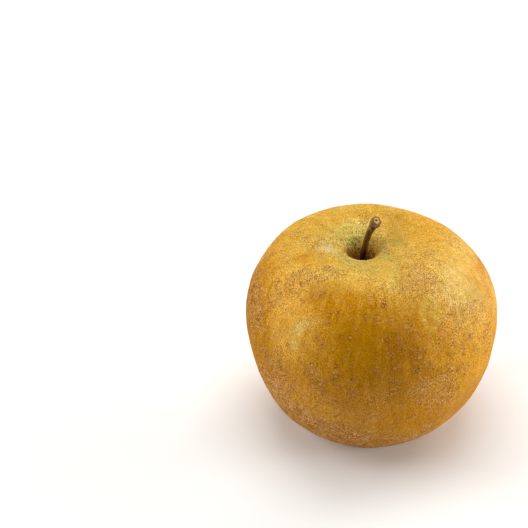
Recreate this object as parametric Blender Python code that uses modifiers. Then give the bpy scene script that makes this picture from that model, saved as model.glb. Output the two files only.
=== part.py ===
# A reinette grise apple, standing on the lobes round its calyx.
# Metres. +Z runs up the core to the stem, and -Y is the side that faces the viewer.
# The origin is on the surface that the fruit rests on, below the middle of its width and depth.
import math

import bmesh
import bpy
from mathutils import Vector

COLLECTION_NAME = "reinette_grise"
GAP = 0.0003  # clearance between neighbouring pieces

# Fruit: the meridian from the stem socket, over the shoulder, down to the calyx tube
HALF_WIDTH = 0.0400
DEPTH_RATIO = 0.985  # depth over width
SHOULDER_HEIGHT = 0.0625
SHOULDER_RADIUS = 0.0196
EQUATOR_HEIGHT = 0.0362
LIP_RADIUS = 0.0059  # where the shallow funnel turns down into the throat
LIP_DROP = 0.0018  # below the shoulder
LIP_SLOPE = math.radians(48.5)
CAVITY_DEPTH = 0.0128  # from the shoulder to the floor round the stem
SOCKET_DEPTH = 0.0025
SOCKET_RADIUS = 0.00145
CAVITY_CENTRE = (-0.0036, 0.0021)
SHOULDER_CENTRE = (-0.0020, 0.0008)
WAIST_CENTRE = (0.0002, 0.0002)
BASE_RADIUS = 0.0167
BASE_DIP = 0.00025  # how far a lobe would reach past the surface that flattens it
REST_WIDTH = 0.0024  # of the flat spot on a lobe, outwards
BASIN_DEPTH = 0.0100
CALYX_MOUTH_RADIUS = 0.0031
CALYX_FLOOR_RADIUS = 0.0024
CALYX_TUBE_DEPTH = 0.0042

# Fruit: what makes it less than perfectly round
LOBES = 5
LOBE_PHASE = math.radians(-90.0)
LOBE_LIFT = 0.0009  # how far the valleys between the lobes stand off the surface
LOBE_REACH = 0.0180  # height at which the lobes have faded out
RIB_DEPTH = 0.00030  # the lobes run up the flanks as faint ribs
RIB_PHASE = math.radians(180.0)
BULGES = 3
BULGE_DEPTH = 0.00027  # broad bulges round the waist
BULGE_PHASE = math.radians(-66.0)
LEAN_FRONT = 0.063  # the back shoulder is a little higher than the front one
LEAN_START = 0.020  # height from which the shoulders begin to lean
FLANK_RADIUS = (0.008, 0.030)  # between these radii the ribs and bulges come in
FLANK_FOOT = 0.004  # height at which they begin
VALLEY_RADIUS = (0.004, 0.012)  # between these radii the valleys come in, outwards from the calyx

# Fruit: how far the handles of the meridian's curves reach
UPPER_REACH = 0.475 * (HALF_WIDTH - SHOULDER_RADIUS)
UPPER_RISE = 0.54 * (SHOULDER_HEIGHT - EQUATOR_HEIGHT)
LOWER_DROP = 0.50 * EQUATOR_HEIGHT
LOWER_REACH = 0.42 * (HALF_WIDTH - BASE_RADIUS)
FUNNEL_REACH = 0.0067
LIP_REACH = 0.0018
THROAT_REACH = 0.0042
FLOOR_REACH = 0.0034
BASIN_REACH = 0.0046
MOUTH_REACH = 0.0084

# Each profile below pairs a place along the piece, from root to tip, with a radius over its bore

# Stem
KNOB_RADIUS = 0.00175
STEM_TIP = (0.0006, -0.0031, 0.0746)
STEM_RISE = Vector((-0.0002, -0.0002, 0.0110))  # from the foot, how the stalk sets off
STEM_BEND = Vector((0.0033, -0.0034, 0.0062))  # at the tip, how it arrives
STEM_PROFILE = [
    (0.00, 0.66), (0.07, 0.66), (0.14, 0.63), (0.24, 0.565), (0.36, 0.54), (0.50, 0.52), (0.62, 0.54),
    (0.73, 0.575), (0.82, 0.65), (0.88, 0.77), (0.925, 0.90), (0.96, 1.0), (0.985, 0.93), (1.0, 0.74),
]

# Calyx
SEPALS = 5
SEPAL_LENGTH = 0.0054
SEPAL_WIDTH = 0.0025
SEPAL_TIP_WIDTH = 0.0004
SEPAL_THICKNESS = 0.0004
SEPAL_ROOT_ANGLE = math.radians(80.0)  # below the horizontal
SEPAL_CURL = math.radians(82.0)
SEPAL_CUP = 0.00035  # how far the edges rise out of the strap's face
SEPAL_SWAY = 0.0005  # how far a tip may bend to one side
SEPAL_TAPER = 1.7
SEPAL_INSET = 0.0001  # from the rim of the calyx tube, outwards
SEPAL_STEPS = (11, 4)  # along and across
STAMENS = 15
STAMEN_RADIUS = 0.00015
STAMEN_LENGTH = 0.0058
STAMEN_RING = 0.00175
STAMEN_SPLAY = 0.00085
STAMEN_TURN = 0.07  # radians that a tip may bend round the ring
STAMEN_PROFILE = [(0.0, 1.0), (0.25, 0.95), (0.5, 0.9), (0.72, 0.9), (0.84, 1.35), (0.93, 1.35), (1.0, 0.7)]
PISTIL_RADIUS = 0.00040
PISTIL_LENGTH = 0.0064
PISTIL_BEND = 0.0002
PISTIL_PROFILE = [(0.0, 1.45), (0.15, 1.25), (0.35, 1.0), (0.6, 0.9), (0.8, 1.0), (0.92, 1.3), (1.0, 1.0)]
CALYX_FLOOR = BASIN_DEPTH + CALYX_TUBE_DEPTH - GAP  # height of the roots of the stamens and pistil

# How finely the fruit is divided
FRUIT_SEGMENTS = 72
SOCKET_RINGS = 1
THROAT_RINGS = 8
FUNNEL_RINGS = 6
UPPER_RINGS = 9
LOWER_RINGS = 10
REST_RINGS = 2
BASIN_RINGS = 8
TUBE_RINGS = 2


def clear_scene():
    for item in list(bpy.data.objects):
        bpy.data.objects.remove(item, do_unlink=True)


def new_collection(name):
    group = bpy.data.collections.new(name)
    bpy.context.scene.collection.children.link(group)
    return group


def make_material(name, colour, roughness, metallic=0.0):
    material = bpy.data.materials.new(name)
    material.use_nodes = True
    shader = material.node_tree.nodes["Principled BSDF"]
    shader.inputs["Base Color"].default_value = (*colour, 1.0)
    shader.inputs["Roughness"].default_value = roughness
    shader.inputs["Metallic"].default_value = metallic
    return material


def mesh_object(name, bm, material, group):
    mesh = bpy.data.meshes.new(name)
    bm.to_mesh(mesh)
    bm.free()
    mesh.materials.append(material)
    mesh.shade_smooth()
    piece = bpy.data.objects.new(name, mesh)
    group.objects.link(piece)
    return piece


def fade(low, high, value):
    t = min(max((value - low) / (high - low), 0.0), 1.0)
    return t * t * (3.0 - 2.0 * t)


def bezier(knots, t):
    a, b, c, d = knots
    s = 1.0 - t
    return a * s ** 3 + b * 3.0 * s * s * t + c * 3.0 * s * t * t + d * t ** 3


def ring(radius, height, centre=(0.0, 0.0)):
    # One horizontal ring of the fruit: its radius, its height and the middle that it turns about
    return Vector((radius, height, centre[0], centre[1]))


def straight(start, end):
    return (start, start.lerp(end, 1.0 / 3.0), start.lerp(end, 2.0 / 3.0), end)


def meridian_spans():
    # Curves between the knots of the meridian, from the top of the core to the bottom of it,
    # each with the number of rings that it is divided into
    floor = SHOULDER_HEIGHT - CAVITY_DEPTH
    socket_centre = ring(0.0, floor - SOCKET_DEPTH, CAVITY_CENTRE)
    socket_corner = ring(SOCKET_RADIUS, floor - SOCKET_DEPTH, CAVITY_CENTRE)
    socket_mouth = ring(SOCKET_RADIUS, floor, CAVITY_CENTRE)
    lip = ring(LIP_RADIUS, SHOULDER_HEIGHT - LIP_DROP, CAVITY_CENTRE)
    lip_slope = ring(math.cos(LIP_SLOPE), math.sin(LIP_SLOPE))
    shoulder = ring(SHOULDER_RADIUS, SHOULDER_HEIGHT, SHOULDER_CENTRE)
    equator = ring(HALF_WIDTH, EQUATOR_HEIGHT, WAIST_CENTRE)
    base = ring(BASE_RADIUS + 0.5 * REST_WIDTH, -BASE_DIP)
    base_inside = ring(BASE_RADIUS - 0.5 * REST_WIDTH, -BASE_DIP)
    mouth = ring(CALYX_MOUTH_RADIUS, BASIN_DEPTH)
    tube_corner = ring(CALYX_FLOOR_RADIUS, BASIN_DEPTH + CALYX_TUBE_DEPTH)
    tube_centre = ring(0.0, BASIN_DEPTH + CALYX_TUBE_DEPTH)

    throat = (socket_mouth, socket_mouth + ring(FLOOR_REACH, 0.0), lip - lip_slope * THROAT_REACH, lip)
    funnel = (lip, lip + lip_slope * LIP_REACH, shoulder - ring(FUNNEL_REACH, 0.0), shoulder)
    upper = (shoulder, shoulder + ring(UPPER_REACH, 0.0), equator + ring(0.0, UPPER_RISE), equator)
    lower = (equator, equator - ring(0.0, LOWER_DROP), base + ring(LOWER_REACH, 0.0), base)
    basin = (base_inside, base_inside - ring(BASIN_REACH, 0.0), mouth + ring(MOUTH_REACH, 0.0), mouth)
    return [
        (straight(socket_centre, socket_corner), SOCKET_RINGS),
        (straight(socket_corner, socket_mouth), SOCKET_RINGS),
        (throat, THROAT_RINGS),
        (funnel, FUNNEL_RINGS),
        (upper, UPPER_RINGS),
        (lower, LOWER_RINGS),
        (straight(base, base_inside), REST_RINGS),
        (basin, BASIN_RINGS),
        (straight(mouth, tube_corner), TUBE_RINGS),
        (straight(tube_corner, tube_centre), SOCKET_RINGS),
    ]


def meridian_rings():
    spans = meridian_spans()
    rings = [spans[0][0][0]]
    for knots, count in spans:
        for step in range(1, count + 1):
            rings.append(bezier(knots, step / count))
    return rings


def skin_point(level, azimuth):
    # A point of the skin on the ring that level gives, turned by azimuth
    radius, height, centre_x, centre_y = level
    side = math.cos(azimuth)
    back = math.sin(azimuth)
    flank = fade(*FLANK_RADIUS, radius) * fade(FLANK_FOOT, EQUATOR_HEIGHT, height)
    radius += flank * RIB_DEPTH * math.cos(LOBES * azimuth + RIB_PHASE)
    radius += flank * BULGE_DEPTH * math.cos(BULGES * azimuth + BULGE_PHASE)
    x = centre_x + radius * side
    y = centre_y + radius * back * DEPTH_RATIO
    valley = 0.5 - 0.5 * math.cos(LOBES * (azimuth - LOBE_PHASE))
    low = (1.0 - fade(0.0, LOBE_REACH, height)) * fade(*VALLEY_RADIUS, radius)
    height += LOBE_LIFT * valley * low
    height += LEAN_FRONT * y * fade(LEAN_START, SHOULDER_HEIGHT, height)
    return Vector((x, y, max(height, 0.0)))


def make_fruit(material, group):
    rings = meridian_rings()
    steps = len(rings) - 1
    bm = bmesh.new()
    bmesh.ops.create_uvsphere(bm, u_segments=FRUIT_SEGMENTS, v_segments=steps, radius=1.0)
    for vertex in bm.verts:
        polar = math.acos(min(max(vertex.co.z, -1.0), 1.0))
        azimuth = math.atan2(vertex.co.y, vertex.co.x)
        vertex.co = skin_point(rings[round(polar / math.pi * steps)], azimuth)
    return mesh_object("fruit", bm, material, group)


def tube(name, path, profile, bore, rounding, material, group):
    # A round tube with closed ends along path; profile scales its bore point by point
    curve = bpy.data.curves.new(name, "CURVE")
    curve.dimensions = "3D"
    curve.bevel_depth = bore
    curve.bevel_resolution = rounding
    curve.use_fill_caps = True
    curve.twist_mode = "MINIMUM"
    spline = curve.splines.new("POLY")
    spline.points.add(len(path) - 1)
    for point, place, (_, radius) in zip(spline.points, path, profile):
        point.co = (*place, 1.0)
        point.radius = radius
    curve.materials.append(material)
    piece = bpy.data.objects.new(name, curve)
    group.objects.link(piece)
    return piece


def uneven(number, stride, start=0.0):
    # A repeatable value from -1 to 1 that differs from one piece of a whorl to the next
    return math.sin(stride * number + start)


def make_stem(material, group):
    # The stalk rises from its socket, leans to the right and towards the viewer, and ends in the
    # flared knob that once held it to the spur
    foot = Vector((*CAVITY_CENTRE, SHOULDER_HEIGHT - CAVITY_DEPTH - SOCKET_DEPTH + GAP))
    tip = Vector(STEM_TIP)
    knots = (foot, foot + STEM_RISE, tip - STEM_BEND, tip)
    path = [bezier(knots, along) for along, _ in STEM_PROFILE]
    return tube("stem", path, STEM_PROFILE, KNOB_RADIUS, 4, material, group)


def make_sepal(number, material, group):
    # A dried calyx leaf: a pointed strap that leaves the rim of the calyx tube downwards and curls
    # outwards into the basin
    azimuth = LOBE_PHASE + math.tau * (number + 0.5) / SEPALS
    outward = Vector((math.cos(azimuth), math.sin(azimuth), 0.0))
    across = Vector((-math.sin(azimuth), math.cos(azimuth), 0.0))
    curl = SEPAL_CURL * (1.0 + 0.16 * uneven(number, 1.9, 1.6))
    bend = SEPAL_LENGTH * (1.0 + 0.09 * uneven(number, 2.4, 0.7)) / curl
    sway = SEPAL_SWAY * uneven(number, 1.3, 2.0)
    root_radius = CALYX_MOUTH_RADIUS + SEPAL_INSET
    root_height = BASIN_DEPTH - GAP - SEPAL_INSET
    bm = bmesh.new()
    bmesh.ops.create_grid(bm, x_segments=SEPAL_STEPS[0], y_segments=SEPAL_STEPS[1], size=1.0)
    for vertex in bm.verts:
        along = 0.5 + 0.5 * vertex.co.x
        side = vertex.co.y
        angle = SEPAL_ROOT_ANGLE - curl * along
        radius = root_radius + bend * (math.sin(SEPAL_ROOT_ANGLE) - math.sin(angle))
        height = root_height - bend * (math.cos(angle) - math.cos(SEPAL_ROOT_ANGLE))
        narrowing = 1.0 - along ** SEPAL_TAPER
        half_width = 0.5 * (SEPAL_TIP_WIDTH + (SEPAL_WIDTH - SEPAL_TIP_WIDTH) * narrowing)
        cup = SEPAL_CUP * side * side * math.sin(math.pi * min(along + 0.15, 1.0))
        place = outward * (radius + cup * math.sin(angle))
        place += across * (half_width * side + sway * along * along)
        place.z = height + cup * math.cos(angle)
        vertex.co = place
    bmesh.ops.recalc_face_normals(bm, faces=bm.faces)
    piece = mesh_object("sepal_%d" % (number + 1), bm, material, group)
    solid = piece.modifiers.new("thickness", "SOLIDIFY")
    solid.thickness = SEPAL_THICKNESS
    solid.offset = 0.0
    return piece


def make_stamen(number, material, group):
    # A dried filament with the remains of its anther, standing on the floor of the calyx tube
    azimuth = math.tau * number / STAMENS
    length = STAMEN_LENGTH * (1.0 + 0.14 * uneven(number, 2.1))
    splay = STAMEN_SPLAY * (1.0 + 0.35 * uneven(number, 2.7, 1.6))
    turn = STAMEN_TURN * uneven(number, 1.7, 0.5)
    path = []
    for along, _ in STAMEN_PROFILE:
        radius = STAMEN_RING + splay * along * along
        angle = azimuth + turn * along
        height = CALYX_FLOOR - length * along
        path.append(Vector((radius * math.cos(angle), radius * math.sin(angle), height)))
    return tube("stamen_%d" % (number + 1), path, STAMEN_PROFILE, STAMEN_RADIUS, 1, material, group)


def make_pistil(material, group):
    # The dried column of styles in the middle of the stamens
    path = []
    for along, _ in PISTIL_PROFILE:
        path.append(Vector((PISTIL_BEND * math.sin(3.0 * along), 0.0, CALYX_FLOOR - PISTIL_LENGTH * along)))
    return tube("pistil", path, PISTIL_PROFILE, PISTIL_RADIUS, 2, material, group)


def main():
    clear_scene()
    group = new_collection(COLLECTION_NAME)
    skin = make_material("russet_skin", (0.48, 0.26, 0.045), 0.50)
    bark = make_material("stalk_bark", (0.09, 0.045, 0.02), 0.62)
    dry_leaf = make_material("dried_sepal", (0.045, 0.028, 0.016), 0.75)
    dry_thread = make_material("dried_stamen", (0.12, 0.085, 0.045), 0.80)
    make_fruit(skin, group)
    make_stem(bark, group)
    for number in range(SEPALS):
        make_sepal(number, dry_leaf, group)
    for number in range(STAMENS):
        make_stamen(number, dry_thread, group)
    make_pistil(dry_thread, group)


main()
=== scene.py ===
# A reinette grise, a russeted dessert fruit, standing on its calyx end on a pale table
import math
from functools import partial

import bpy
import numpy as np
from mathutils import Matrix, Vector, noise


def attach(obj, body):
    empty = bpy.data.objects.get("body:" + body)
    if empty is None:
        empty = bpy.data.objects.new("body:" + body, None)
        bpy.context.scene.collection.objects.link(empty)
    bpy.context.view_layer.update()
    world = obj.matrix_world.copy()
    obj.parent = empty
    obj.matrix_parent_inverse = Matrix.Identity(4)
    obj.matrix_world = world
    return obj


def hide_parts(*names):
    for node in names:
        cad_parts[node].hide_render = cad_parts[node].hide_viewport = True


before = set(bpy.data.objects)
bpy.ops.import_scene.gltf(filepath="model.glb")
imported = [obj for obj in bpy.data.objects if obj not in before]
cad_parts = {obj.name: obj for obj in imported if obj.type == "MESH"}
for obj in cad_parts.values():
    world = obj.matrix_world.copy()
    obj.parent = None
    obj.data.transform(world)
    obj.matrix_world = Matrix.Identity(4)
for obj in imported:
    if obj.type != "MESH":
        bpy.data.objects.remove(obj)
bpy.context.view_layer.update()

mm = 0.001  # shapes and patterns are worked out in millimetres
softly = {"interpolation_type": "SMOOTHSTEP"}  # for a map range without a corner at either end
seeded = {"noise_dimensions": "4D"}  # for noise whose W picks one of its patterns
times = {"operation": "MULTIPLY"}


def toLinear(hexColour):
    # sRGB hex, as a colour picker shows it, to the linear values that shaders and lights take
    values = []
    for start in (1, 3, 5):
        value = int(hexColour[start:start + 2], 16) / 255
        values.append(value / 12.92 if value <= 0.04045 else ((value + 0.055) / 1.055) ** 2.4)
    return (*values, 1.0)


def feed(node, inputs):
    # an input gets a value, a hex colour, or a link from a node or an output
    for name, value in inputs.items():
        sockets = [socket for socket in node.inputs if socket.enabled and socket.name == name]
        socket = sockets[0] if sockets else node.inputs[name]
        if isinstance(value, bpy.types.Node):
            value = [output for output in value.outputs if output.enabled][0]
        if isinstance(value, bpy.types.NodeSocket):
            node.id_data.links.new(value, socket)
        else:
            socket.default_value = toLinear(value) if isinstance(value, str) else value


def addNode(tree, kind, inputs=None, **settings):
    # adds one node, with its settings and what feeds it
    node = tree.nodes.new("ShaderNode" + kind)
    for name, value in settings.items():
        if name == "stops":  # places and colours of a colour ramp
            marks = node.color_ramp.elements
            while len(marks) < len(value):
                marks.new(1.0)
            for mark, (position, colour) in zip(marks, value):
                mark.position = position
                mark.color = toLinear(colour)
        else:
            setattr(node, name, value)
    feed(node, inputs or {})
    return node


def newMaterial(name):
    # a material, what adds a node to it, its shader, and the object's own place in millimetres
    material = bpy.data.materials.new(name)
    material.use_nodes = True
    add = partial(addNode, material.node_tree)
    own = add("TexCoord").outputs["Object"]
    place = add("VectorMath", {0: own, "Scale": 1 / mm}, operation="SCALE")
    return material, add, material.node_tree.nodes["Principled BSDF"], place


def specks(add, place, size, seed, low, high):
    # spots some size millimetres across: 0 where the noise is at low, 1 where it is at high
    cloud = add("TexNoise", {"Vector": place, "W": seed, "Scale": 1 / size, "Roughness": 0.6}, **seeded)
    return add("MapRange", {"Value": cloud, "From Min": low, "From Max": high}, **softly)


def paint(add, under, over, share, strength):
    # one colour over another, fully where share times strength is 1
    amount = add("Math", {0: share, 1: strength}, **times)
    return add("Mix", {"Factor": amount, "A": under, "B": over}, data_type="RGBA")


def ball(add, place, centre, radii):
    # 1 in the middle of an ellipsoid and 0 at its edge
    inside = add("Mapping", {"Vector": place, "Location": centre, "Scale": radii}, vector_type="TEXTURE")
    return add("TexGradient", {"Vector": inside}, gradient_type="SPHERICAL").outputs["Fac"]


def fade(low, high, value):
    # 0 at low, 1 at high, and smooth between
    t = min(max((value - low) / (high - low), 0.0), 1.0)
    return t * t * (3.0 - 2.0 * t)


def bezier(knots, t):
    a, b, c, d = knots
    s = 1.0 - t
    return a * s ** 3 + b * 3.0 * s * s * t + c * 3.0 * s * t * t + d * t ** 3


def newObject(name, data):
    thing = bpy.data.objects.new(name, data)
    bpy.context.scene.collection.objects.link(thing)
    return thing


def addPiece(name, points, faces, materials, slotName, *nodes):
    # points are in millimetres; the piece stands for the CAD nodes that are named
    mesh = bpy.data.meshes.new(name)
    mesh.from_pydata([[c * mm for c in point] for point in points], [], faces)
    for material in materials:
        mesh.materials.append(material)
    mesh.validate()
    mesh.shade_smooth()
    piece = newObject(name, mesh)
    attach(piece, "root")
    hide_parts(*nodes)
    return piece


# Camera

view = {
    "lens": 106.5,
    "sensor": 36.0,
    "distance": 501.5,  # from the middle of the fruit
    "height": 33.5,  # of that middle
    "elevation": 36.0,
    "pitch": 33.893,  # it looks past the fruit, which stands right of and below the frame's middle
    "yaw": 4.818,
}


def placeCamera(v):
    elevation = math.radians(v["elevation"])
    camera = newObject("camera", bpy.data.cameras.new("camera"))
    camera.data.lens = v["lens"]
    camera.data.sensor_width = v["sensor"]
    back = v["distance"] * math.cos(elevation)
    up = v["distance"] * math.sin(elevation) + v["height"]
    camera.location = (0.0, -back * mm, up * mm)
    camera.rotation_euler = (math.radians(90.0 - v["pitch"]), 0.0, math.radians(v["yaw"]))
    bpy.context.scene.camera = camera


placeCamera(view)
print("camera placed")


# Fruit: its shape

fruit = {
    "halfWidth": 40.0,
    "depthRatio": 0.985,  # depth over width
    "shoulderHeight": 62.5,
    "shoulderRadius": 19.6,
    "shoulderCentre": (-2.0, 0.8),
    "equatorHeight": 36.2,
    "waistCentre": (0.2, 0.2),
    "lipRadius": 5.9,  # where the shallow funnel turns down into the throat
    "lipDrop": 1.8,
    "lipSlope": 48.5,
    "cavityCentre": (-3.6, 2.1),
    "cavityDepth": 12.8,
    "socketRadius": 1.45,
    "socketDepth": 2.5,
    "baseRadius": 16.7,
    "baseDip": 0.25,
    "restWidth": 2.4,
    "basinDepth": 10.0,
    "calyxMouth": 3.1,
    "calyxFloor": 2.4,
    "calyxTube": 4.2,
    "throatPull": (3.4, 4.2),  # how far each end of a curve carries straight on before it bends
    "funnelPull": (1.8, 6.7),
    "upperPull": (0.475, 0.54),  # as shares of the way across and down
    "lowerPull": (0.50, 0.42),  # as shares of the way down and across
    "basinPull": (4.6, 8.4),
    "lobes": 5,
    "lobePhase": -90.0,
    "lobeLift": 0.9,
    "lobeReach": 18.0,
    "ribDepth": 0.30,
    "ribPhase": 180.0,
    "bulges": 3,
    "bulgeDepth": 0.27,
    "bulgePhase": -66.0,
    "leanFront": 0.063,
    "leanStart": 20.0,
    "flankRadius": (8.0, 30.0),
    "flankFoot": 4.0,
    "valleyRadius": (4.0, 12.0),
    "calmFoot": 1.5,  # the relief fades out below this, so that its flats stay flat
    "segments": 396,
    "rings": {"socketFloor": 1, "socketWall": 2, "throat": 36, "funnel": 30, "upper": 71, "lower": 74,
              "rest": 3, "basin": 27, "tubeWall": 4, "tubeFloor": 1},
    "lumps": [  # how far each rises, its size, and where its noise starts
        (0.55, 19.0, (0.0, 0.0, 0.0)),
        (0.16, 7.0, (7.0, 3.0, 1.0)),
        (0.05, 2.2, (0.0, 0.0, 0.0)),
    ],
    "flakes": {  # cracked russet in the throat
        "depth": 0.26,
        "size": 1.3,
        "crack": (0.02, 0.30),
        "patches": 3.1,
        "patchEdge": (-0.15, 0.25),
        "outside": (-0.5, 2.0),  # from the lip, where they end
        "inside": (0.4, 2.0),  # from the socket, which is smooth
    },
    "folds": {  # they run out from the calyx
        "depth": 0.45,
        "count": 9,
        "sway": (2.2, 8.0),
        "crumple": (0.4, 2.0),
        "start": (4.5, 8.0),
        "end": (9.0, 14.0),
        "mouth": (3.3, 5.0),
    },
    "lenticels": {  # pores of the skin that have healed over with cork
        "rise": (0.07, 0.24),
        "radius": (0.50, 0.85),
        "halo": (0.8, 1.6),  # radius of the darker skin round one
        "faint": (0.10, 0.38),  # how strong the small ones are
        "large": [  # those that stand out in front: place, and size from 0 to 1
            ((9.6, -8.5, 61.9), 1.0), ((3.4, -25.3, 59.1), 0.5), ((5.1, -32.8, 52.2), 0.9),
            ((30.4, -21.1, 46.5), 0.5), ((17.0, -31.7, 47.6), 0.6), ((7.7, -36.9, 44.4), 0.7),
            ((27.3, -28.5, 38.3), 0.5), ((15.4, -34.7, 43.1), 0.8), ((23.1, -29.3, 45.2), 0.4),
            ((-9.7, -36.7, 44.5), 0.6), ((-10.8, -37.6, 40.3), 0.6), ((-4.5, -38.6, 40.5), 0.5),
            ((-7.4, -38.8, 35.4), 0.3), ((-9.8, -37.9, 31.1), 1.0), ((-7.1, -36.1, 20.8), 0.4),
            ((-25.8, -29.3, 31.7), 0.3), ((-21.2, -26.4, 53.2), 0.2), ((-12.7, -27.1, 56.8), 0.4),
            ((-10.4, -27.5, 57.1), 0.5), ((-8.9, -27.5, 57.4), 0.4), ((-6.0, -29.6, 56.1), 0.3),
            ((-4.3, -31.6, 54.2), 0.5), ((-5.8, -33.3, 52.3), 0.6), ((-6.1, -25.9, 58.7), 0.2),
        ],
        "small": 170,  # how many more there are all over
        "apart": 3.8,
        "clearOfCavity": 11.0,
        "clearOfFoot": 2.0,
    },
}


def ringOf(radius, height, centre=(0.0, 0.0)):
    return Vector((radius, height, centre[0], centre[1]))


def straight(start, end):
    return (start, start.lerp(end, 1 / 3), start.lerp(end, 2 / 3), end)


def fruitLevels(s):
    # rings from the core over the shoulder to the calyx, each with its stretch's name
    cavity = s["cavityCentre"]
    floor = s["shoulderHeight"] - s["cavityDepth"]
    slope = math.radians(s["lipSlope"])
    socketMiddle = ringOf(0.0, floor - s["socketDepth"], cavity)
    socketCorner = ringOf(s["socketRadius"], floor - s["socketDepth"], cavity)
    socketMouth = ringOf(s["socketRadius"], floor, cavity)
    lip = ringOf(s["lipRadius"], s["shoulderHeight"] - s["lipDrop"], cavity)
    lipWay = ringOf(math.cos(slope), math.sin(slope))
    shoulder = ringOf(s["shoulderRadius"], s["shoulderHeight"], s["shoulderCentre"])
    equator = ringOf(s["halfWidth"], s["equatorHeight"], s["waistCentre"])
    base = ringOf(s["baseRadius"] + 0.5 * s["restWidth"], -s["baseDip"])
    baseInside = ringOf(s["baseRadius"] - 0.5 * s["restWidth"], -s["baseDip"])
    mouth = ringOf(s["calyxMouth"], s["basinDepth"])
    tubeEnd = s["basinDepth"] + s["calyxTube"]
    tubeCorner = ringOf(s["calyxFloor"], tubeEnd)
    tubeMiddle = ringOf(0.0, tubeEnd)

    across = ringOf(1.0, 0.0)
    down = ringOf(0.0, -1.0)
    throatOut, throatDown = s["throatPull"]
    funnelUp, funnelIn = s["funnelPull"]
    basinIn, basinOut = s["basinPull"]
    upperOut = s["upperPull"][0] * (s["halfWidth"] - s["shoulderRadius"])
    upperDown = s["upperPull"][1] * (s["shoulderHeight"] - s["equatorHeight"])
    lowerDown = s["lowerPull"][0] * s["equatorHeight"]
    lowerOut = s["lowerPull"][1] * (s["halfWidth"] - s["baseRadius"])
    spans = {
        "socketFloor": straight(socketMiddle, socketCorner),
        "socketWall": straight(socketCorner, socketMouth),
        "throat": (socketMouth, socketMouth + across * throatOut, lip - lipWay * throatDown, lip),
        "funnel": (lip, lip + lipWay * funnelUp, shoulder - across * funnelIn, shoulder),
        "upper": (shoulder, shoulder + across * upperOut, equator - down * upperDown, equator),
        "lower": (equator, equator + down * lowerDown, base + across * lowerOut, base),
        "rest": straight(base, baseInside),
        "basin": (baseInside, baseInside - across * basinIn, mouth + across * basinOut, mouth),
        "tubeWall": straight(mouth, tubeCorner),
        "tubeFloor": straight(tubeCorner, tubeMiddle),
    }
    levels = [(socketMiddle, "socketFloor")]
    for name, knots in spans.items():
        count = s["rings"][name]
        levels += [(bezier(knots, step / count), name) for step in range(1, count + 1)]
    return levels


def skinPoint(s, level, azimuth):
    radius, height, centreX, centreY = level
    flank = fade(*s["flankRadius"], radius) * fade(s["flankFoot"], s["equatorHeight"], height)
    radius += flank * s["ribDepth"] * math.cos(s["lobes"] * azimuth + math.radians(s["ribPhase"]))
    radius += flank * s["bulgeDepth"] * math.cos(s["bulges"] * azimuth + math.radians(s["bulgePhase"]))
    x = centreX + radius * math.cos(azimuth)
    y = centreY + radius * math.sin(azimuth) * s["depthRatio"]
    valley = 0.5 - 0.5 * math.cos(s["lobes"] * (azimuth - math.radians(s["lobePhase"])))
    low = (1.0 - fade(0.0, s["lobeReach"], height)) * fade(*s["valleyRadius"], radius)
    height += s["lobeLift"] * valley * low
    height += s["leanFront"] * y * fade(s["leanStart"], s["shoulderHeight"], height)
    return (x, y, max(height, 0.0))


def skinRelief(s, point, name, azimuth, radius):
    # what time and growth add to the smooth shape, along the surface's normal
    if name.startswith(("socket", "tube")):
        return 0.0
    p = Vector(point)
    rise = sum(height * noise.noise(p / size + Vector(start)) for height, size, start in s["lumps"])
    if name in ("throat", "funnel"):
        flakes = s["flakes"]
        near, nearest = noise.voronoi(p / flakes["size"])[0][:2]
        crack = 1.0 - fade(*flakes["crack"], nearest - near)
        patchy = fade(*flakes["patchEdge"], noise.noise(p / flakes["patches"] + Vector((2.0, 9.0, 4.0))))
        deep = 1.0 - fade(*(s["lipRadius"] + away for away in flakes["outside"]), radius)
        rise -= flakes["depth"] * crack * patchy * deep
        rise *= fade(*(s["socketRadius"] + away for away in flakes["inside"]), radius)
    if name in ("rest", "basin"):
        folds = s["folds"]
        sway, swaySize = folds["sway"]
        crumple, crumpleSize = folds["crumple"]
        ripple = math.sin(folds["count"] * azimuth + sway * noise.noise(p / swaySize)) * (1.0 - crumple)
        ripple += noise.noise(p / crumpleSize) * crumple
        rise += folds["depth"] * ripple * fade(*folds["start"], radius) * (1.0 - fade(*folds["end"], radius))
        rise *= fade(*folds["mouth"], radius)
    return rise


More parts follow.
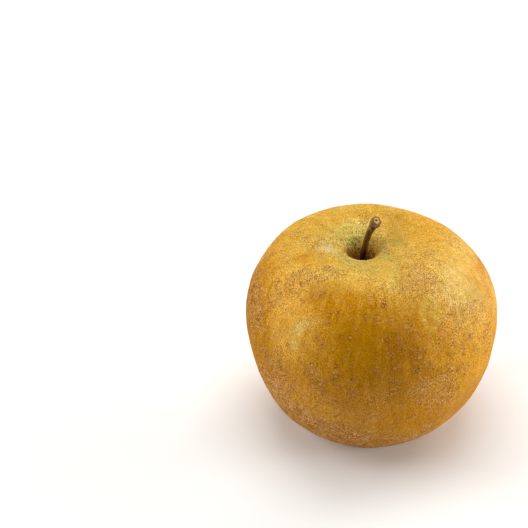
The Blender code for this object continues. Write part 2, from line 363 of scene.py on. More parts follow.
def placeLenticels(values, surface, normal, levels):
    # each stands on a vertex; nearness is up to 1 on a pore and 0 outside its halo
    chosen = list(values["large"])
    stretches = ("funnel", "upper", "lower")
    rings = [i for i, (level, name) in enumerate(levels) if name in stretches and level[0] > values["clearOfCavity"]]
    widest = fruit["halfWidth"]
    tries = 4000
    evenSteps = (0.7548777, 0.5698403, 0.3819660)  # multiples of these, less their whole part, spread evenly
    sizeStep = 0.6180340
    for number in range(1, tries + 1):
        if len(chosen) == len(values["large"]) + values["small"]:
            break
        u, v, w = (math.modf(number * step)[0] for step in evenSteps)
        centre = surface[rings[int(u * len(rings))], int(v * surface.shape[1])]
        if w * widest > math.hypot(centre[0], centre[1]) or centre[2] < values["clearOfFoot"]:
            continue  # so that they are as close together all over
        if all(np.linalg.norm(centre - np.array(other)) > values["apart"] for other, size in chosen):
            chosen.append((centre, -math.modf(number * sizeStep)[0]))  # a size under 0 marks a small one

    nearness = np.zeros(surface.shape[:2])
    raised = surface.copy()
    least, most = values["faint"]
    for centre, size in chosen:
        strength = 1.0 if size >= 0.0 else least - (most - least) * size
        ranges = (values["rise"], values["radius"], values["halo"])
        rise, radius, halo = (low + (high - low) * abs(size) for low, high in ranges)
        away = np.linalg.norm(surface - np.array(centre), axis=2)
        nearest = surface[np.unravel_index(away.argmin(), away.shape)]
        away = np.linalg.norm(surface - nearest, axis=2)
        hill = np.exp(-(away / radius) ** 2) * (away < 3.0 * radius)
        raised += normal * (strength * rise * hill)[:, :, None]
        nearness = np.maximum(nearness, strength * np.clip(1.0 - away / halo, 0.0, 1.0))
    return raised, nearness


def makeFruit(s, material):
    levels = fruitLevels(s)
    segments = s["segments"]
    turns = [math.tau * k / segments for k in range(segments)]
    smooth = np.array([[skinPoint(s, level, turn) for turn in turns] for level, name in levels])
    down = np.gradient(smooth, axis=0)
    across = np.roll(smooth, -1, axis=1) - np.roll(smooth, 1, axis=1)
    normal = np.cross(down, across)
    normal /= np.maximum(np.linalg.norm(normal, axis=2, keepdims=True), 1e-9)
    rises = np.array([
        [skinRelief(s, smooth[i, k], name, turn, level[0]) for k, turn in enumerate(turns)]
        for i, (level, name) in enumerate(levels)
    ])
    lift = np.clip(smooth[:, :, 2:] / s["calmFoot"], 0.0, 1.0)
    surface = smooth + normal * rises[:, :, None] * lift
    surface, nearness = placeLenticels(s["lenticels"], surface, normal, levels)

    # the first and last rings are single points
    points = [surface[0, 0], *surface[1:-1].reshape(-1, 3), surface[-1, 0]]
    last = len(points) - 1
    faces = []
    for k in range(segments):
        after = (k + 1) % segments
        faces.append((0, 1 + k, 1 + after))
        for row in range(1, last - segments, segments):
            faces.append((row + k, row + segments + k, row + segments + after, row + after))
        faces.append((last - segments + k, last, last - segments + after))
    piece = addPiece("fruitSkin", points, faces, [material], "russet_skin", "fruit")
    near = [0.0, *nearness[1:-1].ravel(), 0.0]
    piece.data.attributes.new("lenticel", "FLOAT", "POINT").data.foreach_set("value", near)


# Fruit: its skin

skin = {
    "colours": {
        "ground": "#c48527",
        "honey": "#ce9034",
        "amber": "#c78600",
        "ochre": "#c18000",
        "olive": "#bc8000",
        "brown": "#965b00",
        "rust": "#86370b",
        "orange": "#d69727",
        "gold": "#f5ba4f",
        "yellow": "#f5f083",
        # straw also carries a painted sheen, up on the right
        "straw": "#e5bf68",
        "green": "#f0cd5f",
        "khaki": "#c4a850",
        "shade": "#967630",  # painted shade on the khaki walls of the stem's hollow
        # pale: painted highlights, on the left shoulder of the stem's hollow and along the throat's front lip
        "pale": "#e4d09c",
        "scar": "#e6bf66",
        "tan": "#af977b",
        # umber is partly painted shade, in the band over the lower half
        "umber": "#ba8022",
        "throat": "#92611c",
        "flake": "#dcb25c",  # loose russet in the throat
        "crack": "#6e4710",  # between the flakes
        "basin": "#8f8534",  # round the calyx, where the light never reached
        "cork": "#e0a862",
        "bloom": "#dca26c",  # the pinkish tan of cork that lies close
        "tip": "#dfb062",  # of a lenticel
    },
    "areas": [(0.30, "ochre"), (0.44, "ground"), (0.56, "honey"), (0.70, "orange")],
    "areaSize": 22.0,
    # broad bands: colour, the heights where one starts and is full, and strength
    # the umber band darkens the lower half: partly the russet's own brown, partly painted shade
    "bands": [("umber", (34.0, 10.0), 0.85), ("green", (54.0, 63.0), 0.45)],
    # broad blotches: colour, middle, radii and strength; they run into each other as on the real skin
    "blotches": [
        ("amber", (-11.4, -31.1, 53.2), (26, 20.7, 25.6), 1),
        ("gold", (-28.8, -20.7, 49.7), (23.4, 106.2, 15.5), 0.64),
        ("ochre", (-37.2, -14.5, 34.9), (11.3, 34.5, 65.3), 1),
        ("olive", (-1, -35.1, 48.8), (15.3, 24.6, 13.4), 1),
        ("brown", (14, -34.9, 41.6), (18.6, 26.4, 13.3), 0.77),
        ("brown", (10.8, -34.1, 47.8), (13.6, 4.5, 23.8), 0.75),
        ("brown", (20.9, -32.2, 36.1), (10, 2.4, 4.3), 0.39),
        ("orange", (27.3, -19.5, 41.1), (47.9, 29.3, 18.5), 1),
        # this straw, up on the right, is partly the skin's own colour and partly a painted sheen
        ("straw", (26.1, -9.8, 54.1), (13.9, 18, 39.8), 0.94),
        ("straw", (26.7, 8.6, 59.7), (8.9, 11.2, 16.3), 0.81),
        ("tan", (9.4, -14, 56.5), (8.6, 8.9, 11.3), 0.23),
        ("brown", (7.4, -15.5, 61.9), (4.4, 8.1, 3.5), 0.51),
        ("brown", (30.3, -9.9, 52.6), (28.7, 6.7, 5.5), 0.28),
        ("green", (6.4, -17, 63.6), (4.8, 10.6, 4), 1),
        ("green", (17.4, -22.8, 53), (4.9, 7.4, 9), 1),
        ("yellow", (-5.8, 10.3, 60.4), (7.7, 9.3, 4.4), 1),
        ("orange", (-15.7, -6.2, 62.1), (12.8, 7.3, 2.2), 1),
        ("orange", (23.6, 18.2, 64.8), (32.1, 27.1, 12.4), 0.5),
        ("khaki", (-4.5, -1.8, 62.3), (19.5, 19.2, 3.9), 1),
        ("khaki", (-5.8, 9.7, 63.1), (6.6, 5.8, 3.7), 0.51),
        ("amber", (-42.7, -5.7, 53), (4.6, 14.7, 12.2), 0.24),
        # painted shade on the walls of the stem's hollow
        ("shade", (6.6, 6.4, 65.3), (6.1, 22.2, 6.1), 0.39),
        ("shade", (1.5, 5, 60.5), (5, 5.5, 3.6), 0.85),
        ("straw", (40.1, 4.4, 52.6), (7.5, 18.3, 18.1), 0.54),
        # painted highlights: one on the left shoulder of the stem's hollow, a thin one along the throat's front lip
        ("pale", (-14.5, -0.7, 62.2), (4.8, 4.1, 3.2), 0.43),
        ("pale", (-3.6, -4.2, 61), (5, 1.6, 1.8), 0.5),
        ("scar", (-17.4, -27.6, 50.5), (10.9, 2.8, 6.8), 0.67),
        ("scar", (-20.5, -27.9, 45.3), (3.1, 4.2, 2.9), 0.5),
        ("scar", (-20.7, -27.9, 51.2), (2.1, 2.6, 4.9), 0.95),
        ("scar", (-22.5, -30.2, 46.6), (3.4, 2.8, 2.7), 0.58),
        ("rust", (-19.6, -31.5, 46.8), (2.2, 2.8, 3.5), 0.24),
        ("rust", (-17.9, -30, 53.5), (1.9, 2.3, 3.3), 0.14),
        ("rust", (-15.7, -20, 56.1), (5, 5.3, 7.2), 0.71),
        ("rust", (-21.5, -16.3, 59.2), (1, 1.6, 1.9), 0.67),
        ("rust", (-7.3, -34.7, 52), (5.3, 7.5, 2.1), 0.29),
        ("orange", (12, 36, 38), (20, 16, 24), 0.7),
        ("amber", (-28, 26, 34), (19, 16, 20), 0.7),
        ("tan", (26, 26, 50), (15, 15, 13), 0.4),
        ("straw", (-10, 33, 48), (14, 12, 12), 0.6),
    ],
    # where the russet is thick: middle, radii and strength
    "thick": [
        ((-27, -23, 19), (26, 22, 28), 1.4), ((-10, -30, 12), (30, 20, 19), 1.4),
        ((12, -30, 10), (28, 18, 14), 1.2), ((0, 0, 3), (36, 36, 9), 1.2),
        ((-15, -13, 61), (19, 9, 7), 0.85), ((-37, -10, 46), (10, 22, 18), 1.2),
        ((15, -14, 61), (14, 12, 9), 1.0), ((24, -24, 50), (12, 13, 12), 0.8),
        ((22, -33, 34), (16, 13, 15), 1.0), ((2, -24, 60), (9, 4, 3), 0.8),
        ((4, -37, 32), (22, 12, 16), 0.6), ((-20, 28, 52), (17, 14, 12), 0.9),
        ((20, 30, 24), (18, 16, 16), 0.9),
    ],
    # where the skin has hardly any russet: middle, radii and strength
    "smooth": [
        ((29, -5, 57), (11, 13, 8), 0.8), ((-4, -33, 52), (16, 13, 11), 0.8),
        ((-7, -21, 59.5), (11, 7, 6), 0.6), ((2, -38, 42), (11, 8, 8), 0.5),
        ((5, -10, 62), (8, 8, 6), 0.7), ((16, -23, 55), (6, 8, 8), 0.5),
        ((-14, 12, 63), (12, 12, 6), 0.7), ((-18, -7, 61.5), (8, 6, 4), 0.8),
        ((14, 12, 63), (14, 12, 8), 0.6),
    ],
    "basin": (24.0, 13.0),  # height plus radius where the green round the calyx starts and is full
    "streaks": [(1.5, 0.18), (4.5, 0.15)],  # width and strength
    "streakLength": 0.14,  # the smaller, the longer
    "streaksStart": (9.0, 22.0),  # from the core
    "throatMiddle": 53.0,  # its height
    "throat": (9.0, 5.0),  # distance from that where the brown starts and is full
    "wall": (12.5, 9.0),  # and the flakes
    "flakeSize": 1.2,
    "grain": 0.40,
    "coarseGrain": 1.5,
    "clumps": 1.6,
    "patches": 2.8,
    "threads": 0.85,  # these wriggle at about this size, and are some 0.35 mm wide
    "netThreads": 1.6,
    "roughness": (0.58, 0.80),  # of the wax and of the cork
    "bump": 0.10,
}


def blotch(add, place, ragged, centre, radii):
    # 1 in the middle of a soft ellipsoid, 0 outside it, with a ragged edge
    inside = add("Math", {0: ball(add, place, centre, radii), 1: ragged}, **times)
    return add("MapRange", {"Value": inside, "From Max": 0.75}, **softly)


def cracks(add, place, size, seed, width):
    # wriggling lines along two levels of one noise, so that each raised thread has a gap beside it
    inputs = {"Vector": place, "W": seed, "Scale": 1 / size, "Detail": 1.0, "Roughness": 0.6, "Distortion": 0.5}
    weave = add("TexNoise", inputs, **seeded)
    lines = []
    for level in (0.5, 0.5 + 1.7 * width):
        away = add("Math", {0: weave, 1: level}, operation="SUBTRACT")
        away = add("Math", {0: away}, operation="ABSOLUTE")
        lines.append(add("MapRange", {"Value": away, "From Min": width, "From Max": 0.2 * width}, **softly))
    return lines


def wavering(add, place, size, seed, reach, detail, roughness):
    # noise that darkens and lightens by up to reach
    inputs = {"Vector": place, "W": seed, "Scale": 1 / size, "Detail": detail, "Roughness": roughness}
    cloud = add("TexNoise", inputs, **seeded)
    return add("MapRange", {"Value": cloud, "To Min": -reach, "To Max": reach})


def layGround(add, s, place, ragged, height, radius):
    # the areas, bands and blotches of colour, and the green round the calyx
    colours = s["colours"]
    areas = add("TexNoise", {"Vector": place, "W": 1.0, "Scale": 1 / s["areaSize"], "Detail": 3.0}, **seeded)
    colour = add("ValToRGB", {0: areas}, stops=[(level, colours[name]) for level, name in s["areas"]])
    for name, (start, full), strength in s["bands"]:
        band = add("MapRange", {"Value": height, "From Min": start, "From Max": full}, **softly)
        colour = paint(add, colour, colours[name], band, strength)
    for name, centre, radii, strength in s["blotches"]:
        colour = paint(add, colour, colours[name], blotch(add, place, ragged, centre, radii), strength)
    start, full = s["basin"]
    under = add("Math", {0: radius, 1: height}, operation="ADD")
    inBasin = add("MapRange", {"Value": under, "From Min": start, "From Max": full}, **softly)
    return paint(add, colour, colours["basin"], inBasin, 0.7)


def layStreaks(add, s, colour, flat, height, radius):
    # They run from the stem to the calyx, so they are drawn on a plane of azimuth and height, and
    # darken or lighten the ground outside the stem's hollow
    way = add("VectorMath", {0: flat}, operation="NORMALIZE")
    around = add("VectorMath", {0: way, "Scale": 38.0}, operation="SCALE")
    along = add("Math", {0: height, 1: radius}, operation="SUBTRACT")
    along = add("Math", {0: along, 1: s["streakLength"]}, **times)
    along = add("CombineXYZ", {2: along})
    streaky = add("VectorMath", {0: around, 1: along}, operation="ADD")
    start, full = s["streaksStart"]
    outside = add("MapRange", {"Value": radius, "From Min": start, "From Max": full}, **softly)
    for size, strength in s["streaks"]:
        for name, level in (("brown", 0.30), ("gold", 0.72)):
            streak = specks(add, streaky, size, 3.0, 0.52, level)
            streak = add("Math", {0: streak, 1: outside}, **times)
            colour = paint(add, colour, s["colours"][name], streak, strength)
    return colour


def layThroat(add, s, colour, place, edge, ragged):
    # brown towards the stem, with flakes of loose russet on its wall
    colours = s["colours"]
    middle = (*fruit["cavityCentre"], s["throatMiddle"])
    depth = add("VectorMath", {0: place, 1: middle}, operation="DISTANCE")
    depth = add("Math", {0: ragged, 1: 1.2, 2: depth}, operation="MULTIPLY_ADD")
    deep, wall = (add("MapRange", {"Value": depth, "From Min": start, "From Max": full}, **softly)
                  for start, full in (s["throat"], s["wall"]))
    colour = paint(add, colour, colours["throat"], deep, 0.7)

    drift = add("VectorMath", {0: edge, "Scale": 2.0}, operation="SCALE")
    drifting = add("VectorMath", {0: place, 1: drift}, operation="ADD")
    inputs = {"Vector": drifting, "Scale": 1 / s["flakeSize"]}
    cells = add("TexVoronoi", inputs).outputs["Color"]
    loose = add("MapRange", {"Value": cells, "From Min": 0.48, "From Max": 0.56})
    loose = add("Math", {0: loose, 1: wall}, **times)
    colour = paint(add, colour, colours["flake"], loose, 0.55)
    between = add("TexVoronoi", inputs, feature="DISTANCE_TO_EDGE")
    split = add("MapRange", {"Value": between, "From Min": 0.14, "From Max": 0.04})
    for share in (wall, specks(add, place, 2.2, 14.0, 0.42, 0.58)):
        split = add("Math", {0: split, 1: share}, **times)
    return paint(add, colour, colours["crack"], split, 0.75)


def russetThickness(add, s, place, ragged):
    # about 1 where it is thick and 0 where there is none; above 0.75 it knits into a net
    thick = specks(add, place, 15.0, 4.0, 0.40, 0.66)
    thick = add("MapRange", {"Value": thick, "To Min": 0.25, "To Max": 0.75})
    for centre, radii, strength in s["thick"]:
        share = blotch(add, place, ragged, centre, radii)
        share = add("Math", {0: share, 1: strength}, **times)
        thick = add("Math", {0: thick, 1: share}, operation="MAXIMUM")
    for centre, radii, strength in s["smooth"]:
        inside = blotch(add, place, ragged, centre, radii)
        left = add("MapRange", {"Value": inside, "To Min": 1.0, "To Max": 1.0 - strength})
        thick = add("Math", {0: thick, 1: left}, **times)
    return thick


def layCork(add, s, colour, place, thick, net):
    # The cork stands in short threads 0.05 to 0.1 mm wide with a dark gap beside each. They are drawn
    # at 0.35 mm, which is the least that shows, and as wider ones in the net round the calyx
    colours = s["colours"]
    patchy = add("TexNoise", {"Vector": place, "W": 12.0, "Scale": 1 / s["patches"], "Detail": 3.0}, **seeded)
    patchy = add("Math", {0: thick, 1: 0.26, 2: patchy}, operation="MULTIPLY_ADD")
    patchy = add("MapRange", {"Value": patchy, "From Min": 0.60, "From Max": 0.76}, **softly)
    cork = add("Math", {0: patchy, 1: thick}, **times)
    pale, dark = (add("Math", {0: lines, 1: patchy}, **times)
                  for lines in cracks(add, place, s["threads"], 5.0, 0.055))
    netPale, netDark = (add("Math", {0: lines, 1: net}, **times)
                        for lines in cracks(add, place, s["netThreads"], 6.0, 0.045))
    colour = paint(add, colour, colours["bloom"], cork, 0.16)
    colour = paint(add, colour, colours["cork"], pale, 0.38)
    colour = paint(add, colour, colours["cork"], netPale, 0.52)
    threads = add("Math", {0: pale, 1: netPale}, operation="MAXIMUM")
    gaps = add("Math", {0: dark, 1: netDark}, operation="MAXIMUM")
    return colour, threads, gaps


def makeSkin(s):
    # Fruit skin, grown: a waxy cuticle that has cracked all over and healed with cork. It gives a
    # satin amber ground under matt, grainy, tan and brown russet.
    material, add, shader, place = newMaterial("waxyRussetSkin")
    x, y, height = add("SeparateXYZ", {0: place}).outputs
    flat = add("CombineXYZ", {0: x, 1: y})
    radius = add("VectorMath", {0: flat}, operation="LENGTH")
    edge = add("TexNoise", {"Vector": place, "W": 2.0, "Scale": 1 / 6, "Detail": 5.0, "Roughness": 0.6}, **seeded)
    ragged = add("MapRange", {"Value": edge, "From Min": 0.25, "From Max": 0.75, "To Min": 0.1, "To Max": 1.9})

    thick = russetThickness(add, s, place, ragged)
    net = add("MapRange", {"Value": thick, "From Min": 0.75, "From Max": 1.30})
    colour = layGround(add, s, place, ragged, height, radius)
    colour = layStreaks(add, s, colour, flat, height, radius)
    colour = layThroat(add, s, colour, place, edge, ragged)
    colour, threads, gaps = layCork(add, s, colour, place, thick, net)

    # the cuticle's own grain, finer still, is drawn at 0.4 mm, and at 1.5 mm in the net
    grain = wavering(add, place, s["grain"], 8.0, 1.2, 1.0, 0.7)
    more = add("MapRange", {"Value": thick, "From Max": 1.3, "To Min": 0.6, "To Max": 1.75})
    grain = add("Math", {0: more, 1: grain}, **times)
    coarse = wavering(add, place, s["coarseGrain"], 7.0, 0.9, 2.5, 0.75)
    coarse = add("Math", {0: coarse, 1: net}, **times)

    # a lenticel is a raised pore of about a millimetre in a browner halo, with a crumbly edge
    near = add("Attribute", attribute_name="lenticel").outputs["Fac"]
    clumps = add("TexNoise", {"Vector": place, "W": 9.0, "Scale": 1 / s["clumps"]}, **seeded)
    inputs = {"Value": clumps, "From Min": 0.25, "From Max": 0.75, "To Min": 0.6, "To Max": 1.3}
    near = add("Math", {0: near, 1: add("MapRange", inputs)}, **times)
    ring = add("MapRange", {"Value": near, "From Max": 0.6}, **softly)
    tip = add("MapRange", {"Value": near, "From Min": 0.50, "From Max": 0.80}, **softly)

    # all of these lighten and darken the colour, and the lighter it gets the less yellow it is
    light = add("MapRange", {"Value": clumps, "To Min": -0.22, "To Max": 0.22})
    for part, strength in ((grain, 1.0), (coarse, 1.0), (threads, 0.12), (gaps, -0.14), (ring, -0.24)):
        light = add("Math", {0: part, 1: strength, 2: light}, operation="MULTIPLY_ADD")
    gain = add("VectorMath", {0: (0.72, 1.14, 2.8), "Scale": light}, operation="SCALE")
    gain = add("VectorMath", {0: gain, 1: (1.0, 1.0, 1.0)}, operation="ADD")
    gain = add("VectorMath", {0: gain, 1: (0.2, 0.1, 0.0)}, operation="MAXIMUM")
    colour = add("VectorMath", {0: colour, 1: gain}, **times)
    colour = paint(add, colour, s["colours"]["tip"], tip, 0.50)
    satin, dull = s["roughness"]
    matt = add("MapRange", {"Value": thick, "To Min": satin, "To Max": dull})
    relief = add("Math", {0: threads, 1: gaps}, operation="SUBTRACT")
    for part in (grain, coarse):
        relief = add("Math", {0: part, 1: 0.5, 2: relief}, operation="MULTIPLY_ADD")
    bump = add("Bump", {"Height": relief, "Distance": s["bump"] * mm})
    feed(shader, {"Base Color": colour, "Roughness": matt, "IOR": 1.45, "Specular IOR Level": 0.05, "Normal": bump})
    return material


makeFruit(fruit, makeSkin(skin))
print("fruit made")


# Stem

stalk = {
    "foot": (-3.6, 2.1, 47.5),
    "tip": (0.6, -3.1, 74.6),
    "rise": (-0.2, -0.2, 11.0),  # how it sets off from the foot
    "bend": (3.3, -3.4, 6.2),  # how it arrives at the tip
    "knob": 1.75,  # its radius, where it came off the spur
    "profile": [  # place along the stem, and radius as a share of the knob's
        (0.0, 0.66), (0.07, 0.66), (0.14, 0.63), (0.24, 0.565), (0.36, 0.54), (0.5, 0.52), (0.62, 0.54),
        (0.73, 0.575), (0.82, 0.65), (0.88, 0.77), (0.925, 0.9), (0.96, 1.0), (0.985, 0.93), (1.0, 0.74),
    ],
    "steps": 110,
    "sides": 48,
    "furrows": 7,  # along the bark
    "furrowDepth": 0.035,  # this and the next two as shares of the radius
    "lumpDepth": 0.09,
    "crinkle": 0.035,
    "end": [  # rings over the cut end: radius, height and part
        (1.16, 0.08, "bark"), (1.04, 0.0, "bark"), (1.01, 0.02, "bark"), (0.97, 0.08, "wood"), (0.76, 0.12, "wood"),
        (0.46, 0.06, "wood"), (0.34, -0.06, "wood"), (0.27, -0.2, "pith"), (0.16, -0.3, "pith"),
    ],
    "heart": (-0.34, 0.0, 0.1),  # how far the wood lies off the middle of the end
    "colours": {
        "bark": "#6d4d0c",
        "dark": "#3a2206",
        # olive: a painted highlight on the stem's lit side
        "olive": "#9a761e",
        "rust": "#9a5210",
        "knob": "#866238",
        "fleck": "#d8b078",
        "wood": "#dcb566",
        "woodShade": "#a07534",
        "pith": "#8a6a30",
    },
    # from the foot to the knob
    "ages": [(0.0, "dark"), (0.4, "dark"), (0.56, "bark"), (0.8, "bark"), (0.88, "knob"), (1.0, "knob")],
    "scar": ((-3.9, 0.2, 64.0), (1.1, 1.8, 3.2)),  # middle and radii
    # painted shade under the knob's rim: middle and radii
    "shadeUnderKnob": ((-0.1, -3.6, 71.6), (2.0, 2.0, 1.5)),
}


def sweep(path, radii, sides, relief=None):
    # rings of points round a path; relief gives the share by which a point stands out or in
    rings = []
    side = Vector((1.0, 0.0, 0.0))
    for i, (point, radius) in enumerate(zip(path, radii)):
        ahead = (path[min(i + 1, len(path) - 1)] - path[max(i - 1, 0)]).normalized()
        side = (side - ahead * side.dot(ahead)).normalized()
        other = ahead.cross(side)
        ring = []
        for k in range(sides):
            turn = math.tau * k / sides
            away = side * math.cos(turn) + other * math.sin(turn)
            share = relief(i, turn, point + away * radius) if relief else 0.0
            ring.append(point + away * radius * (1.0 + share))
        rings.append(ring)
    return rings


def radiiAlong(profile, radius, steps):
    places, widths = zip(*profile)
    return [radius * float(np.interp(i / steps, places, widths)) for i in range(steps + 1)]


def skinRings(rings, first=0):
    # faces between rings and a fan over each end, whose points come after the rings
    sides = len(rings[0])
    end = first + len(rings) * sides
    faces = []
    for k in range(sides):
        after = (k + 1) % sides
        faces.append((end, first + after, first + k))
        for row in range(first, end - sides, sides):
            faces.append((row + k, row + after, row + sides + after, row + sides + k))
        faces.append((end - sides + k, end - sides + after, end + 1))
    points = [point for ring in rings for point in ring]
    middles = [sum(ring, Vector()) / sides for ring in (rings[0], rings[-1])]
    return points + middles, faces


def makeStem(s, bark, wood, pith):
    foot, tip = Vector(s["foot"]), Vector(s["tip"])
    knots = (foot, foot + Vector(s["rise"]), tip - Vector(s["bend"]), tip)
    steps = s["steps"]
    path = [bezier(knots, i / steps) for i in range(steps + 1)]
    radii = radiiAlong(s["profile"], s["knob"], steps)
    rounded = [(a + b + b + c) / 4 for a, b, c in zip(radii, radii[1:], radii[2:])]
    radii = [radii[0], *rounded, radii[-1]]

    def relief(i, turn, point):
        up = i / steps
        furrow = s["furrowDepth"] * math.sin(s["furrows"] * turn + 3.0 * noise.noise(point / 6.0))
        lump = s["lumpDepth"] * (0.35 + 0.9 * fade(0.72, 0.92, up)) * noise.noise(point / 1.1)
        crinkle = s["crinkle"] * noise.noise(Vector((point.x / 0.35, point.y / 0.35, point.z / 1.4)))
        return (furrow + lump + crinkle) * fade(0.0, 0.1, up)

    rings = sweep(path, radii, s["sides"], relief)
    barkRings = len(rings)
    ahead = (path[-1] - path[-2]).normalized()
    for radius, height, part in s["end"]:
        last = rings[-1]
        middle = sum(last, Vector()) / len(last)
        heart = tip + Vector(s["heart"]) * min(1.0, (radii[-1] - radius) / 0.4)
        ring = []
        for point in last:
            away = point - middle
            away -= ahead * away.dot(ahead)
            ragged = 1.0 + 0.10 * noise.noise(point / 0.6)
            ring.append(heart + away.normalized() * radius * ragged + ahead * height)
        rings.append(ring)
    points, faces = skinRings(rings)
    stem = addPiece("woodyStalk", points, faces, [bark, wood, pith], "stalk_bark", "stem")
    parts = ["bark"] * barkRings + [part for radius, height, part in s["end"]] + ["pith"]
    numbers = [("bark", "wood", "pith").index(part) for part in parts]
    stem.data.polygons.foreach_set("material_index", numbers * s["sides"])


def makeBark(s):
    # Bark of a one-year spur, grown and dried: brown, matt, finely furrowed lengthwise
    colours = s["colours"]
    material, add, shader, place = newMaterial("driedSpurBark")
    x, y, z = add("SeparateXYZ", {0: place}).outputs
    patches = add("TexNoise", {"Vector": place, "W": 2.0, "Scale": 1 / 1.8, "Detail": 3.0}, **seeded)
    height = add("Math", {0: patches, 1: 3.0, 2: z}, operation="MULTIPLY_ADD")
    height = add("MapRange", {"Value": height, "From Min": 51.5, "From Max": 77.5})
    colour = add("ValToRGB", {0: height}, stops=[(level, colours[name]) for level, name in s["ages"]])
    # a painted highlight in olive on the lit left side of the upper stem, above a reddish scar
    slant = add("Math", {0: z, 1: -0.25, 2: x}, operation="MULTIPLY_ADD")
    left = add("MapRange", {"Value": slant, "From Min": -19.2, "From Max": -20.0}, **softly)
    upper = add("MapRange", {"Value": z, "From Min": 62.0, "From Max": 66.0}, **softly)
    upper = add("Math", {0: upper, 1: 0.7}, **times)
    colour = paint(add, colour, colours["olive"], left, upper)
    colour = paint(add, colour, colours["rust"], ball(add, place, *s["scar"]), 1.6)
    # painted shade in the neck under the knob
    colour = paint(add, colour, colours["dark"], ball(add, place, *s["shadeUnderKnob"]), 1.2)
    # the furrows are 0.1 mm apart; they are drawn at 0.5 mm, to show
    stretched = add("VectorMath", {0: place, 1: (1.0, 1.0, 0.22)}, **times)
    furrows = specks(add, stretched, 0.50, 1.0, 0.54, 0.34)
    colour = paint(add, colour, colours["dark"], furrows, 0.55)
    nearEnd = add("MapRange", {"Value": z, "From Min": 68.0, "From Max": 73.0}, **softly)
    nearEnd = add("Math", {0: nearEnd, 1: 0.6}, **times)
    colour = paint(add, colour, colours["fleck"], specks(add, place, 0.7, 4.0, 0.52, 0.64), nearEnd)
    bump = add("Bump", {"Height": furrows, "Strength": 0.8, "Distance": 0.08 * mm}, invert=True)
    feed(shader, {"Base Color": colour, "Roughness": 0.64, "IOR": 1.45, "Specular IOR Level": 0.12, "Normal": bump})
    return material


def makeCutWood(name, light, shade, roughness):
    # End grain where the stalk came off the spur: pale, dry and matt, with fine pores and darker
    # patches where it has healed. The pores are 0.05 mm wide; they are drawn at 0.35 mm, to show
    material, add, shader, place = newMaterial(name)
    pores = specks(add, place, 0.35, 1.0, 0.60, 0.38)
    healed = specks(add, place, 1.0, 2.0, 0.46, 0.58)
    colour = paint(add, light, shade, pores, 0.5)
    colour = paint(add, colour, shade, healed, 0.8)
    bump = add("Bump", {"Height": pores, "Strength": 0.6, "Distance": 0.05 * mm}, invert=True)
    feed(shader, {"Base Color": colour, "Roughness": roughness, "Normal": bump})
    return material


woody = stalk["colours"]
endGrain = makeCutWood("paleEndGrain", woody["wood"], woody["woodShade"], 0.7)
softPith = makeCutWood("softPith", woody["pith"], woody["dark"], 0.9)
makeStem(stalk, makeBark(stalk), endGrain, softPith)
print("stem made")


# Calyx: dried sepals, stamens and styles

calyx = {
    "sepals": 5,
    "lobePhase": -90.0,
    "rootRadius": 3.2,
    "rootHeight": 9.6,
    "length": 5.4,
    "width": 2.5,
    "tipWidth": 0.4,
    "thickness": 0.30,
    "rootAngle": 80.0,
    "curl": 82.0,
    "cup": 0.35,
    "sway": 0.5,
    "taper": 1.7,
    "crinkle": 0.12,
    "midrib": (0.07, 0.18),  # depth, and width as a share of half the sepal's
    "veins": (0.03, 9.0),  # depth, and how close they are
    "sepalSteps": (30, 14),
    "stamens": 15,
    "stamenRadius": 0.15,
    "stamenLength": 5.8,
    "stamenRing": 1.75,
    "stamenSplay": 0.85,
    "stamenTurn": 0.07,
    "stamenProfile": [
        (0.0, 1.0), (0.25, 0.95), (0.5, 0.85), (0.72, 0.8), (0.8, 1.2), (0.86, 1.5), (0.92, 1.4), (0.97, 1.1),
        (1.0, 0.5),
    ],
    "stamenSteps": 26,
    "antherLobe": 0.22,
    "shrivel": (0.16, 0.35),
    "threadSides": 12,
    "floor": 13.9,
    "styles": 5,
    "styleLength": 6.3,
    "styleRadius": 0.17,
    "styleProfile": [(0.0, 1.5), (0.2, 1.2), (0.5, 0.9), (0.8, 0.9), (0.92, 1.4), (1.0, 0.8)],
    "styleSteps": 24,
    "styleTwist": 0.9,
    "styleRing": 0.24,
    "colours": {
        "sepal": "#4e3b26",
        "sepalDark": "#2e2115",
        "down": "#8b7c5c",  # grey down inside and on the edges
        "thread": "#8f7d54",
        "threadDark": "#3d2e1a",
    },
}


def uneven(share, number, stride, start=0.0):
    # about 1, and up to share more or less, so that no two are alike
    return 1.0 + share * math.sin(stride * number + start)


def polar(radius, azimuth, height):
    return Vector((radius * math.cos(azimuth), radius * math.sin(azimuth), height))


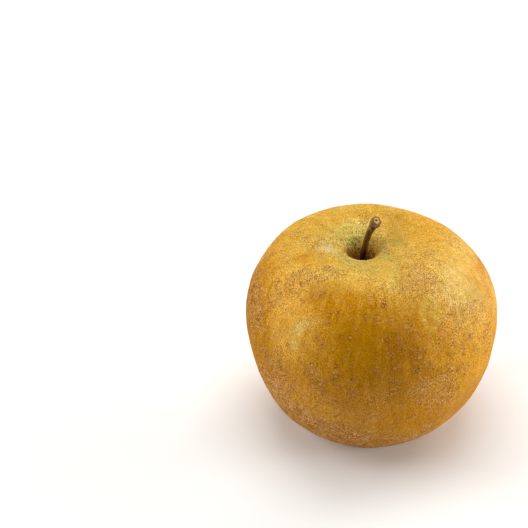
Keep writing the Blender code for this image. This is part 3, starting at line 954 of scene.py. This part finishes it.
def makeSepal(s, number, material):
    azimuth = math.radians(s["lobePhase"]) + math.tau * (number + 0.5) / s["sepals"]
    outward = polar(1.0, azimuth, 0.0)
    across = Vector((-math.sin(azimuth), math.cos(azimuth), 0.0))
    rootAngle = math.radians(s["rootAngle"])
    curl = math.radians(s["curl"]) * uneven(0.16, number, 1.9, 1.6)
    bend = s["length"] * uneven(0.09, number, 2.4, 0.7) / curl
    sway = s["sway"] * math.sin(1.3 * number + 2.0)
    ribDepth, ribWidth = s["midrib"]
    veinDepth, veins = s["veins"]
    rows, columns = s["sepalSteps"]
    points = []
    for i in range(rows + 1):
        along = i / rows
        angle = rootAngle - curl * along
        radius = s["rootRadius"] + bend * (math.sin(rootAngle) - math.sin(angle))
        height = s["rootHeight"] - bend * (math.cos(angle) - math.cos(rootAngle))
        half = 0.5 * (s["tipWidth"] + (s["width"] - s["tipWidth"]) * (1.0 - along ** s["taper"]))
        for j in range(columns + 1):
            side = 2.0 * j / columns - 1.0
            cup = s["cup"] * side * side * math.sin(math.pi * min(along + 0.15, 1.0))
            rib = ribDepth * math.exp(-(side / ribWidth) ** 2) + veinDepth * math.cos(veins * side)
            spot = outward * radius + across * half * side + Vector((0.0, 0.0, height))
            ruffle = s["crinkle"] * (noise.noise(spot / 0.9) + 0.8 * side * side * noise.noise(spot / 0.5))
            lift = cup - rib + ruffle * fade(0.0, 0.25, along)
            place = outward * (radius + lift * math.sin(angle)) + across * (half * side + sway * along * along)
            place.z = height + lift * math.cos(angle)
            points.append(place)
    corners = [i * (columns + 1) + j for i in range(rows) for j in range(columns)]
    faces = [(corner, corner + 1, corner + columns + 2, corner + columns + 1) for corner in corners]
    name = f"sepal_{number + 1}"
    sepal = addPiece(f"driedSepal_{number + 1}", points, faces, [material], "dried_sepal", name)
    solid = sepal.modifiers.new("thickness", "SOLIDIFY")
    solid.thickness = s["thickness"] * mm
    solid.offset = 0.0


def makeStamen(s, number, material):
    azimuth = math.tau * number / s["stamens"]
    length = s["stamenLength"] * uneven(0.14, number, 2.1)
    splay = s["stamenSplay"] * uneven(0.35, number, 2.7, 1.6)
    turn = s["stamenTurn"] * math.sin(1.7 * number + 0.5)
    shrivel, shrivelSize = s["shrivel"]
    steps = s["stamenSteps"]
    path = []
    for i in range(steps + 1):
        along = i / steps
        radius = s["stamenRing"] + splay * along * along
        angle = azimuth + turn * along
        path.append(polar(radius, angle, s["floor"] - length * along))

    def relief(i, around, point):
        # the anther has two halves
        lobe = s["antherLobe"] * math.cos(2.0 * around) * fade(0.76, 0.84, i / steps)
        return lobe + shrivel * noise.noise(point / shrivelSize)

    radii = radiiAlong(s["stamenProfile"], s["stamenRadius"], steps)
    points, faces = skinRings(sweep(path, radii, s["threadSides"], relief))
    name = f"stamen_{number + 1}"
    addPiece("dried_" + name, points, faces, [material], "dried_stamen", name)


def makeStyles(s, material):
    # five styles that grow as one column and part at their tips
    allPoints, allFaces = [], []
    steps = s["styleSteps"]
    radii = radiiAlong(s["styleProfile"], s["styleRadius"], steps)
    for number in range(s["styles"]):
        path = []
        for i in range(steps + 1):
            along = i / steps
            turn = math.tau * number / s["styles"] + s["styleTwist"] * along
            away = s["styleRing"] - 0.05 * math.sin(math.pi * along) + 0.10 * fade(0.75, 1.0, along)
            path.append(polar(away, turn, s["floor"] - s["styleLength"] * along))
        points, faces = skinRings(sweep(path, radii, s["threadSides"]), len(allPoints))
        allPoints += points
        allFaces += faces
    addPiece("dried_styles", allPoints, allFaces, [material], "dried_stamen", "pistil")


def makeDried(name, base, dark, down, size, roughness):
    # Dried leaf or thread, shrivelled on the fruit: dark brown, matt, with remains of grey down,
    # whose hairs are 0.02 mm thick and are drawn as tufts of 0.35 mm, to show
    material, add, shader, place = newMaterial(name)
    tufts = specks(add, place, 0.35, 2.0, 0.50, 0.72)
    colour = paint(add, base, dark, specks(add, place, size, 1.0, 0.40, 0.62), 1.0)
    colour = paint(add, colour, down, tufts, 0.55)
    bump = add("Bump", {"Height": tufts, "Strength": 0.8, "Distance": 0.06 * mm})
    feed(shader, {"Base Color": colour, "Roughness": roughness, "Specular IOR Level": 0.25, "Normal": bump})
    return material


dry = calyx["colours"]
sepalLeaf = makeDried("driedDownySepal", dry["sepal"], dry["sepalDark"], dry["down"], 1.6, 0.78)
thread = makeDried("driedThread", dry["thread"], dry["threadDark"], dry["down"], 0.9, 0.82)
for number in range(calyx["sepals"]):
    makeSepal(calyx, number, sepalLeaf)
for number in range(calyx["stamens"]):
    makeStamen(calyx, number, thread)
makeStyles(calyx, thread)
print("calyx made")


# Table and light

studio = {
    "table": "#f6f5f2",
    "tableShade": "#efeeea",
    "tableSize": 6.0,  # metres
    "sky": "#ffffff",
    "skyStrength": 0.05,
    "glow": 0.12,  # the table is lit from below too
    "aim": (0.0, 0.0, 0.03),
    "softboxes": {  # place and size in metres, power in watts
        "above": ((0.0, 0.0, 1.2), 1.0, 7.8),
        "aboveBack": ((-0.05, 0.55, 1.05), 1.0, 4.6),
        "left": ((-1.0, 0.0, 0.55), 0.7, 5.6),
        "backRight": ((0.75, 0.75, 0.5), 0.7, 4.4),
        "lowRight": ((1.1, 0.0, 0.15), 0.4, 7.6),
    },
}


def makeStudio(values):
    # Opal acrylic sheet, cast and lit from below as well: an even white field and hardly a shadow
    board, add, shader, place = newMaterial("litOpalAcrylic")
    cloudy = specks(add, place, 60.0, 0.0, 0.3, 0.8)
    colour = paint(add, values["table"], values["tableShade"], cloudy, 1.0)
    glow = {"Emission Color": values["sky"], "Emission Strength": values["glow"]}
    feed(shader, {"Base Color": colour, "Roughness": 0.85, **glow})
    half = 0.5 * values["tableSize"]
    mesh = bpy.data.meshes.new("table")
    corners = [(-half, -half, 0), (half, -half, 0), (half, half, 0), (-half, half, 0)]
    mesh.from_pydata(corners, [], [(0, 1, 2, 3)])
    mesh.materials.append(board)
    table = newObject("table", mesh)

    world = bpy.data.worlds.new("studio")
    world.use_nodes = True
    feed(world.node_tree.nodes["Background"], {"Color": values["sky"], "Strength": values["skyStrength"]})
    bpy.context.scene.world = world

    for name, (place, size, power) in values["softboxes"].items():
        light = bpy.data.lights.new(name, "AREA")
        light.size = size
        light.energy = power
        lamp = newObject(name, light)
        lamp.location = place
        lamp.rotation_euler = (Vector(values["aim"]) - Vector(place)).to_track_quat("-Z", "Y").to_euler()
    bpy.context.scene.view_settings.view_transform = "Standard"


makeStudio(studio)
print("studio lit")
